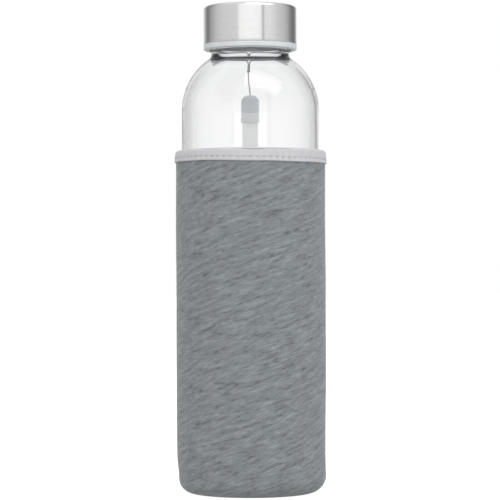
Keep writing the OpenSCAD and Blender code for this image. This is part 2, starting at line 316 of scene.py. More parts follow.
outer_fillet, outer_dome_end = neck_fillet(neck_radius, shoulder_centre, shoulder_radius, 3.5 * mm, 18)
inner_dome = shoulder_radius - wall
inner_fillet, inner_dome_end = neck_fillet(mouth_radius, inner_centre, inner_dome, 5 * mm, 20)
inner_radius = glass_radius - wall
floor_of_glass = glass_foot + base_thickness
lip_z = lip_top - lip_round
glass_profile = np.concatenate([
    line((0, glass_foot + punt_depth), (punt_radius, glass_foot), 10),
    line((punt_radius, glass_foot), (glass_radius - heel_round, glass_foot), 6),
    arc((glass_radius - heel_round, glass_foot + heel_round), heel_round, -90, 0, 18)[:-1],
    line((glass_radius, glass_foot + heel_round), (glass_radius, shoulder_height), 50),
    arc(shoulder_centre, shoulder_radius, 0, outer_dome_end, 40)[:-1],
    outer_fillet[:-1],
    line(outer_fillet[-1], (neck_radius, neck_step[0]), 4),
    line((neck_radius, neck_step[0]), (thread_root, neck_step[1]), 5),
    line((thread_root, neck_step[1]), (thread_root, lip_z), 66),
    arc((thread_root - lip_round, lip_z), lip_round, 0, 90, 8),
    arc((mouth_radius + lip_round, lip_z), lip_round, 90, 180, 8)[:-1],
    line((mouth_radius, lip_z), inner_fillet[-1], 12),
    inner_fillet[::-1][:-1],
    arc(inner_centre, inner_dome, inner_dome_end, 0, 40)[:-1],
    line((inner_radius, inner_centre[1]), (inner_radius, floor_of_glass + inner_heel), 50),
    arc((inner_radius - inner_heel, floor_of_glass + inner_heel), inner_heel, 0, -90, 12)[:-1],
    line((inner_radius - inner_heel, floor_of_glass), (0, floor_of_glass + inner_crown), 10),
    [(0, floor_of_glass + inner_crown)],
])


def glass_push(angle, radius, height):
    """The thread's ridge outside, and inside a wall that is a little uneven, as blown glass is."""
    outside = (radius > thread_root - 0.1 * mm) & (height > 205 * mm)
    ridge = thread_height * helix(angle, height, thread_start, thread_pitch, 1.75, 1.0 * mm, 0.45 * mm)
    inside = np.abs(radius - inner_radius) < 0.1 * mm
    swell = np.sin(height * 95 + 1.3 * np.sin(angle)) + 0.7 * np.sin(2 * angle + height * 40)
    return np.where(outside, ridge, 0) + np.where(inside, 0.07 * mm * swell, 0)


glass = turned("glass_shell", glass_profile, 192, glass_push)
clear_glass = material("clear_glass", {
    "Base Color": (1, 1, 1, 1), "Roughness": 0.0, "IOR": 1.5, "Transmission Weight": 1.0})
glass_tree = clear_glass.node_tree
tint = node(glass_tree, "VolumeAbsorption", {"Color": (0.55, 0.6, 0.64, 1), "Density": 18.0})
glass_tree.links.new(tint.outputs[0], glass_tree.nodes["Material Output"].inputs["Volume"])
ripple = noise(glass_tree, 55.0, 1.0)
link_to_shader(clear_glass, normal=bump(glass_tree, ripple, 0.25, 0.2 * mm))
# A shadow ray passes straight through, so that lamps and panels light what stands behind the glass
shadow_ray = node(glass_tree, "LightPath").outputs["Is Shadow Ray"]
see_through = node(glass_tree, "BsdfTransparent", {"Color": (0.985, 0.99, 0.99, 1)})
glass_shader = glass_tree.nodes["Principled BSDF"].outputs[0]
glass_mix = node(glass_tree, "MixShader", {0: shadow_ray, 1: glass_shader, 2: see_through.outputs[0]})
glass_tree.links.new(glass_mix.outputs[0], glass_tree.nodes["Material Output"].inputs["Surface"])
fit(glass, "bottle", "clear_glass", clear_glass, "glass_bottle")


# ------------------------------------------------------------
# The cap's shell is drawn from stainless sheet: a plain cup with a small rounded edge, spun against an
# abrasive so that fine lines run round its side and its top. It is pressed over the liner.
# ------------------------------------------------------------
shell_low, shell_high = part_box("cap_shell")
shell_radius = shell_high.x
shell_round = 1.6 * mm
shell_thickness = 0.5 * mm
rim_round = 0.25 * mm
crown = 0.12 * mm
edge_centre = (shell_radius - shell_round, shell_high.z - shell_round)
rim_centre = (shell_radius - rim_round, shell_low.z + rim_round)
shell_inside = shell_radius - shell_thickness
shell_profile = np.concatenate([
    line((0, shell_high.z), (edge_centre[0] - 2 * mm, shell_high.z), 12),
    line((edge_centre[0] - 2 * mm, shell_high.z), (edge_centre[0], shell_high.z), 3),
    arc(edge_centre, shell_round, 90, 0, 14),
    line((shell_radius, edge_centre[1] - 0.5 * mm), (shell_radius, rim_centre[1] + 0.3 * mm), 16),
    arc(rim_centre, rim_round, 0, -180, 10),
    line((shell_inside, rim_centre[1] + 0.3 * mm), (shell_inside, edge_centre[1]), 8),
    arc(edge_centre, shell_round - shell_thickness, 0, 90, 8),
    [(0, shell_high.z - shell_thickness)],
])
on_top = shell_profile[:, 1] > edge_centre[1]
shell_profile[:, 1] -= crown * (shell_profile[:, 0] / shell_radius) ** 2 * on_top
shell = turned("steel_shell", shell_profile, 256)
steel = material("brushed_steel", {
    "Base Color": (0.66, 0.66, 0.657, 1), "Metallic": 1.0, "Roughness": 0.2, "Anisotropic": 0.8,
    "Anisotropic Rotation": 0.25})
steel_tree = steel.node_tree
steel_parts = node(steel_tree, "SeparateXYZ", {0: on_object(steel_tree)})
flat_place = node(steel_tree, "CombineXYZ", {"X": steel_parts.outputs["X"], "Y": steel_parts.outputs["Y"]})
from_axis = node(steel_tree, "VectorMath", {0: flat_place.outputs[0]}, operation="LENGTH")
across = node(steel_tree, "Math", {0: steel_parts.outputs["Z"], 1: from_axis.outputs["Value"]},
              operation="SUBTRACT")
# The pattern is squeezed across the brushing, so that its grain runs round the side and the top
squeezed = node(steel_tree, "Math", {0: across.outputs[0], 1: 55.0}, operation="MULTIPLY")
brush_place = node(steel_tree, "CombineXYZ", {"X": steel_parts.outputs["X"], "Y": steel_parts.outputs["Y"],
                                              "Z": squeezed.outputs[0]})
brush = noise(steel_tree, 120.0, 4.0, brush_place.outputs[0], Roughness=0.7)
steel_tone = ramp(steel_tree, brush, [(0.25, (0.605, 0.605, 0.602)), (0.75, (0.70, 0.70, 0.697))])
steel_rough = node(steel_tree, "MapRange", {0: brush, 1: 0.3, 2: 0.7, 3: 0.16, 4: 0.24})
steel_bump = bump(steel_tree, brush, 0.2, 0.01 * mm)
steel_grain = node(steel_tree, "Tangent", direction_type="RADIAL", axis="Z")
link_to_shader(steel, base_color=steel_tone, roughness=steel_rough.outputs[0], normal=steel_bump,
               tangent=steel_grain.outputs[0])
fit(shell, "cap", "brushed_cap_steel", steel, "cap_shell")


# ------------------------------------------------------------
# The cap's liner is moulded in milky polypropylene, with the female thread inside its skirt. Its rounded
# foot stands out under the steel as a pale ring.
# ------------------------------------------------------------
liner_low, liner_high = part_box("cap_liner")
ring_radius = liner_high.x
ring_top = shell_low.z
ring_round = 0.7 * mm
skirt_radius = shell_inside
liner_bore = 18.85 * mm
skirt_round = 1.1 * mm
ring_edge = 0.15 * mm
liner_ceiling = liner_high.z - 1.4 * mm
bore_round = 0.4 * mm
liner_profile = np.concatenate([
    line((0, liner_high.z), (skirt_radius - skirt_round, liner_high.z), 8),
    arc((skirt_radius - skirt_round, liner_high.z - skirt_round), skirt_round, 90, 0, 8)[:-1],
    line((skirt_radius, liner_high.z - skirt_round), (skirt_radius, ring_top), 8),
    line((skirt_radius, ring_top), (ring_radius - ring_edge, ring_top), 2),
    arc((ring_radius - ring_edge, ring_top - ring_edge), ring_edge, 90, 0, 4),
    arc((ring_radius - ring_round, liner_low.z + ring_round), ring_round, 0, -90, 12),
    line((ring_radius - ring_round - 0.05 * mm, liner_low.z), (liner_bore + bore_round, liner_low.z), 3),
    arc((liner_bore + bore_round, liner_low.z + bore_round), bore_round, 270, 180, 6)[:-1],
    line((liner_bore, liner_low.z + bore_round), (liner_bore, liner_ceiling), 72),
    line((liner_bore, liner_ceiling), (0, liner_ceiling), 8),
    [(0, liner_ceiling)],
])


def liner_push(angle, radius, height):
    """The female thread: the neck's own screw line, half a pitch lower, standing inwards from the bore."""
    bore = np.abs(radius - liner_bore) < 0.1 * mm
    start = thread_start - thread_pitch / 2
    ridge = helix(angle, height, start, thread_pitch, 1.5, 0.85 * mm, 0.38 * mm)
    return np.where(bore, -thread_height * ridge, 0)


liner = turned("liner_skirt", liner_profile, 192, liner_push)
milky = material("milky_polypropylene", {
    "Base Color": (0.66, 0.69, 0.70, 1), "Roughness": 0.32, "Subsurface Weight": 0.35,
    "Subsurface Radius": (1.0, 1.0, 1.0), "Subsurface Scale": 1.5 * mm, "IOR": 1.49})
milky_tree = milky.node_tree
cloud = noise(milky_tree, 300.0, 3.0)
milky_tone = ramp(milky_tree, cloud, [(0.3, (0.63, 0.66, 0.675)), (0.7, (0.69, 0.72, 0.735))])
link_to_shader(milky, base_color=milky_tone, normal=bump(milky_tree, cloud, 0.15, 0.05 * mm))
fit(liner, "cap", "liner_plastic", milky, "cap_liner")


# ------------------------------------------------------------
# The seal is a silicone disc that lies in the top of the liner and takes the lip's pressure. A rounded
# groove runs round its underside, inside the lip.
# ------------------------------------------------------------
seal_low, seal_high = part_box("cap_seal")
seal_radius = seal_high.x
seal_edge = 0.4 * mm
seal_groove = 12 * mm
groove_round = 1 * mm
seal_profile = np.concatenate([
    line((0, seal_high.z), (seal_radius - seal_edge, seal_high.z), 6),
    arc((seal_radius - seal_edge, seal_high.z - seal_edge), seal_edge, 90, 0, 6),
    arc((seal_radius - seal_edge, seal_low.z + seal_edge), seal_edge, 0, -90, 6)[:-1],
    line((seal_radius - seal_edge, seal_low.z), (seal_groove + groove_round, seal_low.z), 12),
    arc((seal_groove, seal_low.z), groove_round, 0, 180, 12)[:-1],
    line((seal_groove - groove_round, seal_low.z), (0, seal_low.z + 0.3 * mm), 8),
    [(0, seal_low.z + 0.3 * mm)],
])
seal = turned("silicone_seal", seal_profile, 128)
silicone = material("matt_silicone", {
    "Base Color": (0.86, 0.86, 0.83, 1), "Roughness": 0.55, "Subsurface Weight": 0.2,
    "Subsurface Radius": (1.0, 1.0, 1.0), "Subsurface Scale": 1 * mm})
silicone_tree = silicone.node_tree
dust = noise(silicone_tree, 900.0, 3.0)
silicone_rough = node(silicone_tree, "MapRange", {0: dust, 1: 0.3, 2: 0.7, 3: 0.48, 4: 0.64})
link_to_shader(silicone, roughness=silicone_rough.outputs[0],
               normal=bump(silicone_tree, dust, 0.3, 0.03 * mm))
fit(seal, "seal", "seal_silicone", silicone, "cap_seal")


# ------------------------------------------------------------
# The cord is fine grey nylon, three strands twisted. It goes once round the neck under the cap, is knotted
# at the back, and its tail drops over the shoulder into the ferrule.
# ------------------------------------------------------------
def smooth_path(points, step):
    """A Catmull-Rom curve through the points, resampled at equal steps."""
    p = np.concatenate([points[:1], points, points[-1:]])
    t = np.linspace(0, 1, 24, endpoint=False)[None, :, None]
    a, b, c, d = (p[k:len(p) - 3 + k, None, :] for k in range(4))
    curve = 0.5 * (2 * b + (c - a) * t + (2 * a - 5 * b + 4 * c - d) * t ** 2
                   + (3 * b - 3 * c + d - a) * t ** 3)
    curve = np.concatenate([curve.reshape(-1, 3), points[-1:]])
    along = np.concatenate([[0], np.cumsum(np.linalg.norm(np.diff(curve, axis=0), axis=1))])
    at = np.linspace(0, along[-1], max(2, round(along[-1] / step)))
    return np.stack([np.interp(at, along, curve[:, k]) for k in range(3)], axis=1), at


def unit(vectors):
    """Each row scaled to length 1."""
    return vectors / np.linalg.norm(vectors, axis=1, keepdims=True)


def frames(path, outward):
    """For each point of a path, the outward direction squared to the path, and the direction across both."""
    ahead = unit(np.gradient(path, axis=0))
    n = unit(outward - (outward * ahead).sum(axis=1, keepdims=True) * ahead)
    return n, np.cross(ahead, n)


def tube(name, path, radius, sides, outward):
    """A round tube: each ring is path + radius (cos n + sin b), with n the outward direction squared to the
    path and b across both. radius may change along the path; both ends close on a point."""
    n, b = frames(path, outward)
    a = 2 * math.pi * np.arange(sides) / sides
    ring = np.cos(a)[None, :, None] * n[:, None] + np.sin(a)[None, :, None] * b[:, None]
    grid = path[:, None] + np.broadcast_to(radius, len(path))[:, None, None] * ring
    ends = [np.repeat(path[k:k + 1, None], sides, axis=1) for k in (0, len(path) - 1)]
    return surface(name, np.concatenate([ends[0], grid, ends[1]]))


def away_from_axis(path):
    """Unit vectors from the bottle's axis out to each point, level with the floor."""
    return unit(path * (1, 1, 0))


def twisted(name, path, at, cord_radius, lay_length, strands=3):
    """Strands laid round a path: strand k is at path + offset (cos f n + sin f b), f = 2 pi (at / lay_length
    + k / strands)."""
    offset = 0.52 * cord_radius
    n, b = frames(path, away_from_axis(path))
    made = []
    for k in range(strands):
        f = 2 * math.pi * (at / lay_length + k / strands)
        strand = path + offset * (np.cos(f)[:, None] * n + np.sin(f)[:, None] * b)
        made.append(tube(f"{name}_{k}", strand, 0.5 * cord_radius, 7, away_from_axis(path)))
    return joined(name, made)


def joined(name, pieces):
    """Several meshes as one object; their UV maps stay."""
    with bpy.context.temp_override(active_object=pieces[0], selected_editable_objects=pieces):
        bpy.ops.object.join()
    pieces[0].name = name
    pieces[0].data.name = name
    return pieces[0]


ferrule_low, ferrule_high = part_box("strap_ferrule")
ferrule_middle = (ferrule_low.y + ferrule_high.y) / 2
cord_radius = 0.3 * mm
# Half of the loop as angle from the back in degrees, radius and height in millimetres
hang = (neck_radius + cord_radius + 0.1 * mm) / mm
under = (liner_low.z - cord_radius - 0.1 * mm) / mm
loop_route = np.array([[0.9, 22, 199.9], [0.9, 20.6, 201.4], [1.2, 19.5, 202.8], [3, 18.7, 203.75]]
                      + [[a, hang, under] for a in (7, 14, 28, 52, 78, 104, 130, 155, 180)])
loop_angle = np.radians(loop_route[:, 0])
loop_half = np.stack([loop_route[:, 1] * np.sin(loop_angle), loop_route[:, 1] * np.cos(loop_angle),
                      loop_route[:, 2]], axis=1)
knot_turn = math.radians(2)
loop_points = np.concatenate([loop_half * (-1, 1, 1), loop_half[-2::-1]]) * mm
# The loop is turned so that its knot lies a little to one side
turned_left = np.array([[math.cos(knot_turn), math.sin(knot_turn), 0],
                        [-math.sin(knot_turn), math.cos(knot_turn), 0], [0, 0, 1]])
loop_points = loop_points @ turned_left
drop_points = np.array([[-0.9, 22.8, 198.9], [-0.9, 24.6, 197], [-0.7, 27.7, 193.8], [-0.4, 30.8, 190.8],
                        [-0.1, 32.8, 188.7], [0, ferrule_middle / mm, 187.4],
                        [0, ferrule_middle / mm, 186.2]]) * mm
cord_pieces = [twisted(f"cord_run_{k}", *smooth_path(points, 0.2 * mm), cord_radius, 2.4 * mm)
               for k, points in enumerate([loop_points, drop_points])]
cord = joined("neck_cord_strands", cord_pieces)
nylon = material("grey_nylon", {"Base Color": (0.3, 0.305, 0.31, 1), "Roughness": 0.5, "Sheen Weight": 0.3})
nylon_tree = nylon.node_tree
fibres = noise(nylon_tree, 4000.0, 2.0)
nylon_tone = ramp(nylon_tree, fibres, [(0.3, (0.25, 0.255, 0.26)), (0.7, (0.36, 0.365, 0.37))])
link_to_shader(nylon, base_color=nylon_tone, normal=bump(nylon_tree, fibres, 0.5, 0.05 * mm))
fit(cord, "bottle", "cord_nylon", nylon, "neck_cord")


# ------------------------------------------------------------
# The knot is an overhand knot in the same cord, pulled tight, lying on the shoulder at the back.
# ------------------------------------------------------------
knot_low, knot_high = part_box("cord_knot")
knot_centre = np.array((knot_low + knot_high) / 2)
knot_size = 0.25 * mm
t = np.linspace(0, 2 * math.pi, 160)
trefoil = np.stack([np.sin(t) + 2 * np.sin(2 * t), np.cos(t) - 2 * np.cos(2 * t), -1.3 * np.sin(3 * t)],
                   axis=1)
knot_lean = math.radians(48)
knot_axes = np.array([[1, 0, 0], [0, math.sin(knot_lean), -math.cos(knot_lean)],
                      [0, math.cos(knot_lean), math.sin(knot_lean)]])
knot_path = knot_centre + knot_size * trefoil @ knot_axes
knot = tube("overhand_knot", knot_path, 0.27 * mm, 10, np.broadcast_to(knot_axes[2], knot_path.shape))
fit(knot, "bottle", "cord_nylon", nylon, "cord_knot")


# ------------------------------------------------------------
# The ferrule is a small two-part moulding. Its darker top half grips the cord and has rounded shoulders;
# the paler collar under it flares at the foot and clamps the ribbon.
# ------------------------------------------------------------
def squared_off(wave, power):
    """A sine or cosine pushed towards its ends: sign(wave) |wave|^power."""
    return np.sign(wave) * np.abs(wave) ** power


def lofted(name, rows, middle, power, around=64):
    """Rounded-oblong sections stacked up Z: each row is (height, half width, half depth), and the section is
    x = width sign(cos) |cos|^(2/power), y likewise with sin, about the middle line."""
    rows = np.array(rows)
    a = 2 * math.pi * (np.arange(around) + 0.5) / around
    shape_x = squared_off(np.cos(a), 2 / power)
    shape_y = squared_off(np.sin(a), 2 / power)
    grid = np.stack([middle[0] + rows[:, 1:2] * shape_x, middle[1] + rows[:, 2:3] * shape_y,
                     np.repeat(rows[:, :1], around, axis=1)], axis=-1)
    return surface(name, grid)


def rounded_rows(low, high, half_width, half_depth, top_round, foot_round, count=10):
    """Rows of a block whose top and foot edges are quarter circles, closed at both ends."""
    rows = [(low, 0, 0)]
    for a in np.linspace(0, math.pi / 2, count):
        inset = foot_round * (1 - math.sin(a))
        rows.append((low + foot_round * (1 - math.cos(a)), half_width - inset, half_depth - inset))
    for a in np.linspace(0, math.pi / 2, count * 2):
        inset = top_round * (1 - math.cos(a))
        rows.append((high - top_round + top_round * math.sin(a), half_width - inset,
                     half_depth - inset * 0.25))
    rows.append((high, 0, 0))
    return rows


collar_low, collar_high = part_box("strap_collar")
half_depth = (ferrule_high.y - ferrule_low.y) / 2
ferrule = lofted("ferrule_top", rounded_rows(ferrule_low.z, ferrule_high.z, ferrule_high.x, half_depth,
                                             3.4 * mm, 0.25 * mm), (0, ferrule_middle), 4.0)
collar_rows = [(z, x, min(y, half_depth)) for z, x, y in rounded_rows(
    collar_low.z, collar_high.z, ferrule_high.x - 0.1 * mm, half_depth - 0.05 * mm, 0.25 * mm, 0.4 * mm)]
flare = collar_high.x - ferrule_high.x + 0.1 * mm
collar_rows = [(z, x + (x > 0) * flare * float(smoothstep((collar_low.z + 2 * mm - z) / (1.6 * mm))), y)
               for z, x, y in collar_rows]
collar = lofted("ferrule_collar", collar_rows, (0, ferrule_middle), 4.0)


def satin_plastic(name, dark, light):
    """Milky moulded plastic with a faint spark-eroded grain."""
    made = material(name, {"Base Color": (*dark, 1), "Roughness": 0.4, "IOR": 1.5})
    tree = made.node_tree
    grain = noise(tree, 1500.0, 2.0)
    link_to_shader(made, base_color=ramp(tree, grain, [(0.3, dark), (0.7, light)]),
                   normal=bump(tree, grain, 0.35, 0.03 * mm))
    return made


fit(ferrule, "bottle", "ferrule_plastic", satin_plastic("grey_satin_plastic", (0.78, 0.82, 0.845),
                                                        (0.86, 0.90, 0.925)), "strap_ferrule")
fit(collar, "bottle", "collar_plastic", satin_plastic("pale_satin_plastic", (0.90, 0.93, 0.93),
                                                      (0.95, 0.97, 0.97)), "strap_collar")


# ------------------------------------------------------------
# The ribbon is ribbed polyester, woven with firm edges. It leaves the collar, bends in to the glass and is
# tucked down between the glass and the sleeve.
# ------------------------------------------------------------
ribbon_low, ribbon_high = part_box("strap_ribbon")
ribbon_half = ribbon_high.x
ribbon_thickness = 0.5 * mm
rib_pitch = 0.55 * mm
ribbon_route = np.array([[0, ferrule_middle, ribbon_high.z], [0, ferrule_middle, 172 * mm],
                         [0, ferrule_middle - 0.1 * mm, 170 * mm], [0, ribbon_low.y + 0.8 * mm, 165 * mm],
                         [0, ribbon_low.y + 0.35 * mm, 160 * mm], [0, ribbon_low.y + 0.25 * mm, 155 * mm],
                         [0, ribbon_low.y + 0.25 * mm, 145 * mm],
                         [0, ribbon_low.y + 0.25 * mm, ribbon_low.z]])
ribbon_path, ribbon_at = smooth_path(ribbon_route, rib_pitch / 5)
section_points = 40
flatness = 0.28
section = 2 * math.pi * (np.arange(section_points) + 0.5) / section_points
section_x = ribbon_half * squared_off(np.cos(section), flatness)
section_y = 0.5 * ribbon_thickness * squared_off(np.sin(section), flatness)
ribs = 1 - 0.16 * (0.5 + 0.5 * np.cos(2 * math.pi * ribbon_at / rib_pitch))
ribbon_out = np.cross(unit(np.gradient(ribbon_path, axis=0)), (1, 0, 0))
firm_edge = np.abs(section_x) > ribbon_half - 0.6 * mm
ribbon_push = section_y[None, :] * np.where(firm_edge, 1.0, ribs[:, None])
ribbon_grid = (ribbon_path[:, None] + section_x[None, :, None] * np.array((1, 0, 0))
               + ribbon_push[..., None] * ribbon_out[:, None])
ribbon_ends = [np.repeat(ribbon_path[k:k + 1, None], section_points, axis=1)
               for k in (0, len(ribbon_path) - 1)]
ribbon = surface("woven_ribbon", np.concatenate([ribbon_ends[0], ribbon_grid, ribbon_ends[1]]))
weave = material("ribbed_polyester", {
    "Base Color": (0.9, 0.9, 0.89, 1), "Roughness": 0.75, "Sheen Weight": 0.2, "Subsurface Weight": 1.0,
    "Subsurface Radius": (1.0, 1.0, 1.0), "Subsurface Scale": 2 * mm})
weave_tree = weave.node_tree
picks = node(weave_tree, "TexWave", {"Vector": on_object(weave_tree), "Scale": 620.0, "Distortion": 0.6},
             bands_direction="X")
weave_tone = ramp(weave_tree, picks.outputs["Color"], [(0.2, (0.92, 0.92, 0.92)), (0.8, (0.98, 0.98, 0.98))])
link_to_shader(weave, base_color=weave_tone, normal=bump(weave_tree, picks.outputs["Color"], 0.4, 0.05 * mm))
fit(ribbon, "bottle", "ribbon_weave", weave, "strap_ribbon")


# ------------------------------------------------------------
# The sleeve's face is heather jersey, laminated to foam. One panel wraps the bottle and is closed by a seam
# up the back; it curves in at the foot to the base's seam.
# ------------------------------------------------------------
jersey_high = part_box("sleeve_jersey")[1]
sleeve_radius = jersey_high.x
sleeve_corner = 8 * mm
base_radius = sleeve_radius - sleeve_corner
jersey_thickness = 0.55 * mm
jersey_inside = sleeve_radius - jersey_thickness
corner_centre = (base_radius, sleeve_corner)
jersey_profile = np.concatenate([
    arc(corner_centre, sleeve_corner, -90, 0, 20)[:-1],
    line((sleeve_radius, sleeve_corner), (sleeve_radius, jersey_high.z), 90),
    line((sleeve_radius, jersey_high.z), (jersey_inside, jersey_high.z), 2),
    line((jersey_inside, jersey_high.z), (jersey_inside, sleeve_corner), 30),
    arc(corner_centre, sleeve_corner - jersey_thickness, 0, -90, 12),
])


def from_back(angle):
    """Angle from the back seam, between -pi and pi."""
    return np.angle(np.exp(1j * (angle - math.pi / 2)))


def cloth_push(angle, radius, height):
    """Slight unevenness of stretched cloth, the dip of the seam up the back, and a lower corner that is
    pulled up a little on the left."""
    loose = 0.10 * np.sin(2 * angle + 28 * height) + 0.06 * np.sin(5 * angle - 61 * height)
    loose += 0.04 * np.sin(9 * angle + 133 * height + 1.0)
    taper = 0.18 * smoothstep(height / (150 * mm)) - 0.22 * smoothstep((60 * mm - height) / (60 * mm))
    across = np.abs(from_back(angle)) * sleeve_radius
    seam = -0.25 * smoothstep((2.8 * mm - across) / (0.6 * mm)) - 0.2 * np.exp(-(across / (0.5 * mm)) ** 2)
    grip = smoothstep(height / (12 * mm))
    corner = (0.45 * np.cos(angle) - 0.25) * np.exp(-((height - 8 * mm) / (5 * mm)) ** 2)
    return (grip * (loose + seam + taper) + corner) * mm


jersey = turned("jersey_panel", jersey_profile, 240, cloth_push, closed_rows=True)
heather = material("heather_jersey", {"Base Color": (0.26, 0.285, 0.3, 1), "Roughness": 0.9,
                                      "Sheen Weight": 0.25, "Sheen Roughness": 0.5,
                                      "Specular IOR Level": 0.25})
heather_tree = heather.node_tree
cloth_place = node(heather_tree, "TexCoord").outputs["UV"]
slant = node(heather_tree, "Mapping", {"Vector": cloth_place, "Rotation": (0, 0, math.radians(17)),
                                       "Scale": (1.0, 0.17, 1.0)}, vector_type="TEXTURE")
streaks = noise(heather_tree, 95.0, 3.0, slant.outputs[0], Roughness=0.62, Distortion=0.4)
fine = noise(heather_tree, 330.0, 2.0, slant.outputs[0])
both = node(heather_tree, "Mix", {"Factor": 0.42, "A": streaks, "B": fine}, data_type="FLOAT")
heather_tone = ramp(heather_tree, both.outputs[0], [
    (0.34, (0.105, 0.115, 0.122)), (0.43, (0.18, 0.197, 0.206)), (0.53, (0.228, 0.248, 0.258)),
    (0.66, (0.31, 0.335, 0.346))])
knit = node(heather_tree, "TexWave", {"Vector": cloth_place, "Scale": 350.0, "Distortion": 1.2,
                                      "Detail": 1.0, "Detail Scale": 2.0}, bands_direction="X")
knit_bump = node(heather_tree, "Bump", {"Height": knit.outputs["Color"], "Strength": 0.35,
                                        "Distance": 0.12 * mm})
fuzz_bump = node(heather_tree, "Bump", {"Height": fine, "Strength": 0.4, "Distance": 0.15 * mm,
                                        "Normal": knit_bump.outputs[0]})
link_to_shader(heather, base_color=heather_tone, normal=fuzz_bump.outputs[0])
fit(jersey, "sleeve", "heather_jersey", heather, "sleeve_jersey")


# ------------------------------------------------------------
# The sleeve's base is a round of the same laminate, sewn in and standing on the floor.
# ------------------------------------------------------------
panel_low, panel_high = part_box("base_panel")
panel_radius = panel_high.x
groove = panel_radius - 1 * mm
panel_profile = np.concatenate([
    line((0, panel_low.z + 0.3 * mm), (groove - 2 * mm, panel_low.z + 0.02 * mm), 16),
    line((groove - 2 * mm, panel_low.z + 0.02 * mm), (groove - 0.5 * mm, panel_low.z), 4),
    line((groove - 0.5 * mm, panel_low.z), (groove, panel_low.z + 0.5 * mm), 5),
    line((groove, panel_low.z + 0.5 * mm), (groove + 0.5 * mm, panel_low.z), 5),
    line((groove + 0.5 * mm, panel_low.z), (panel_radius, panel_low.z + 0.1 * mm), 3),
    line((panel_radius, panel_low.z + 0.1 * mm), (panel_radius, panel_high.z), 3),
    line((panel_radius, panel_high.z), (0, panel_high.z), 10),
    [(0, panel_high.z)],
])
panel = turned("base_round", panel_profile, 160)
fit(panel, "sleeve", "heather_jersey", heather, "base_panel")


# ------------------------------------------------------------
# The binding is pale knit tape folded over the sleeve's raw top edge. It leans out towards its lower edge
# and is nipped in a little by each stitch.
# ------------------------------------------------------------
tape_low, tape_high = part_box("top_binding")
tape_radius = tape_high.x
tape_thickness = 0.7 * mm
bore_radius = 32.05 * mm
lining_thickness = 0.35 * mm
stitch_count = 72
stitch_height = tape_low.z + 1.8 * mm
tape_top = tape_high.z
tape_profile = np.concatenate([
    arc((sleeve_radius + 0.45 * mm, tape_low.z + 0.42 * mm), 0.42 * mm, -120, 0, 7),
    line((tape_radius + 0.15 * mm, tape_low.z + 0.6 * mm),
         (tape_radius - 0.15 * mm, tape_top - 1.8 * mm), 26),
    arc((tape_radius - 1.95 * mm, tape_top - 1.8 * mm), 1.8 * mm, 0, 90, 12),
    arc((bore_radius + 0.8 * mm, tape_top - 0.8 * mm), 0.8 * mm, 90, 180, 10),
    line((bore_radius, tape_top - 1 * mm), (bore_radius, tape_low.z + 0.2 * mm), 14),
    arc((bore_radius + 0.17 * mm, tape_low.z + 0.17 * mm), 0.17 * mm, 180, 360, 6),
    line((bore_radius + lining_thickness, tape_low.z + 0.2 * mm),
         (bore_radius + lining_thickness, tape_top - tape_thickness), 8),
    line((bore_radius + lining_thickness, tape_top - tape_thickness),
         (sleeve_radius, tape_top - tape_thickness), 5),
    line((sleeve_radius, tape_top - tape_thickness), (sleeve_radius, tape_low.z + 0.4 * mm), 8),
])


def tape_sag(angle):
    """How far the tape's outer lower edge lies above its even height: the tape was folded a little short on
    the left, with a slow waver all round."""
    short = 0.9 * smoothstep((0.1 - np.cos(angle)) / 1.1)
    return (short - 0.25 + 0.1 * np.sin(3 * angle + 0.6) + 0.05 * np.sin(8 * angle)) * mm


def tape_lift(angle, radius, height):
    """Raises the outside of the tape by its sag, in full at the lower edge and not at all at the fold."""
    outside = radius > sleeve_radius + 0.02 * mm
    return np.where(outside, tape_sag(angle) * smoothstep((tape_top - 1 * mm - height) / (3 * mm)), 0)


def tape_push(angle, radius, height):
    """A groove along the stitch line, deepest at each stitch, a wavy lower edge, and the bulge over the
    ribbon at the back."""
    outside = radius > sleeve_radius + 0.1 * mm
    beat = 0.5 + 0.5 * np.cos(stitch_count * (angle - math.pi / 2))
    from_line = height - stitch_height - tape_sag(angle)
    line_depth = np.exp(-(from_line / (0.5 * mm)) ** 2) * (0.1 + 0.16 * beat)
    wave = 0.06 * np.sin(7 * angle + 1) + 0.05 * np.sin(13 * angle)
    channel = 0.75 * smoothstep(1.6 - np.abs(from_back(angle)) * bore_radius / (3.4 * mm))
    inside = radius < bore_radius + lining_thickness + 0.05 * mm
    return (np.where(outside, wave - line_depth, 0) + np.where(inside, channel, 0)) * mm


binding = turned("binding_tape", tape_profile, 720, tape_push, tape_lift, closed_rows=True)
tape = material("pale_knit_tape", {"Base Color": (0.62, 0.61, 0.63, 1), "Roughness": 0.85,
                                   "Sheen Weight": 0.2, "Specular IOR Level": 0.2})
tape_tree = tape.node_tree
tape_place = node(tape_tree, "TexCoord").outputs["UV"]
tape_rows = node(tape_tree, "TexWave", {"Vector": tape_place, "Scale": 560.0, "Distortion": 1.5,
                                        "Detail": 1.0}, bands_direction="DIAGONAL")
tape_spots = noise(tape_tree, 420.0, 3.0, tape_place)
tape_mix = node(tape_tree, "Mix", {"Factor": 0.6, "A": tape_rows.outputs["Fac"], "B": tape_spots},
                data_type="FLOAT")
tape_tone = ramp(tape_tree, tape_mix.outputs[0], [(0.25, (0.50, 0.495, 0.515)), (0.7, (0.61, 0.605, 0.625))])
link_to_shader(tape, base_color=tape_tone, normal=bump(tape_tree, tape_mix.outputs[0], 0.4, 0.08 * mm))
fit(binding, "sleeve", "binding_tape", tape, "top_binding")


